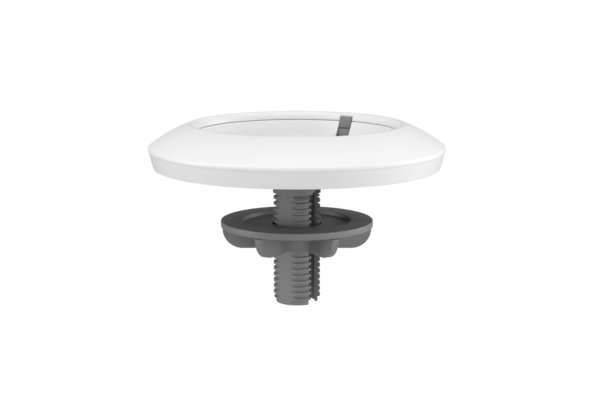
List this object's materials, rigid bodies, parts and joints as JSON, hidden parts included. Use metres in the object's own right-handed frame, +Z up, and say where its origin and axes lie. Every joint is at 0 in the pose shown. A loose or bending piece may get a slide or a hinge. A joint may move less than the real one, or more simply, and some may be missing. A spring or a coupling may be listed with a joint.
{
  "type": "through-table puck mount",
  "caption": "Low round dish that holds a puck-shaped microphone or sensor on a table, with a hollow slotted threaded stem, keyed clamp washer and wing nut below.",
  "frame": {"origin": "on the stem's axis, in the plane of the table's top surface that the dish rests on", "axes": "+Z up along the stem's axis, out of the table; +Y towards the cable notch in the dish's cup wall; +X completes the set"},
  "size_m": [0.144, 0.144, 0.0884],
  "materials": {
    "white_shell": "white moulded plastic, satin to gloss",
    "grey_moulding": "dark grey glass-filled plastic, fine moulded grain",
    "soft_ring": "dark grey rubber",
    "foam": "black closed-cell foam, self-adhesive",
    "screw_steel": "zinc-plated steel"
  },
  "bodies": {
    "dish_and_stem": {"bezel_ring": "white_shell", "cup_liner": "white_shell", "cable_guide": "grey_moulding", "base_plate": "grey_moulding", "stem": "grey_moulding", "foot_pad": "foam", "seat_pad": "soft_ring", "bezel_screw_1": "screw_steel", "bezel_screw_2": "screw_steel", "bezel_screw_3": "screw_steel", "bezel_screw_4": "screw_steel", "bezel_screw_5": "screw_steel", "bezel_screw_6": "screw_steel", "liner_screw_1": "screw_steel", "liner_screw_2": "screw_steel", "liner_screw_3": "screw_steel", "stem_screw_1": "screw_steel", "stem_screw_2": "screw_steel", "stem_screw_3": "screw_steel", "stem_screw_4": "screw_steel"},
    "washer": {"clamp_washer": "grey_moulding"},
    "nut": {"wing_nut": "grey_moulding"}
  },
  "joints": [
    {"name": "washer_slide", "type": "slide", "parent": "dish_and_stem", "child": "washer", "axis": [0, 0, 1], "range_m": [-0.0265, 0.0155]},
    {"name": "nut_spin", "type": "hinge", "parent": "washer", "child": "nut", "pos_m": [0, 0, -0.035], "axis": [0, 0, 1], "range_deg": [-3250, 1905]}
  ],
  "couplings": [
    {"joint": "nut_spin", "follows": "washer_slide", "rad_per_m": 2137.1}
  ]
}
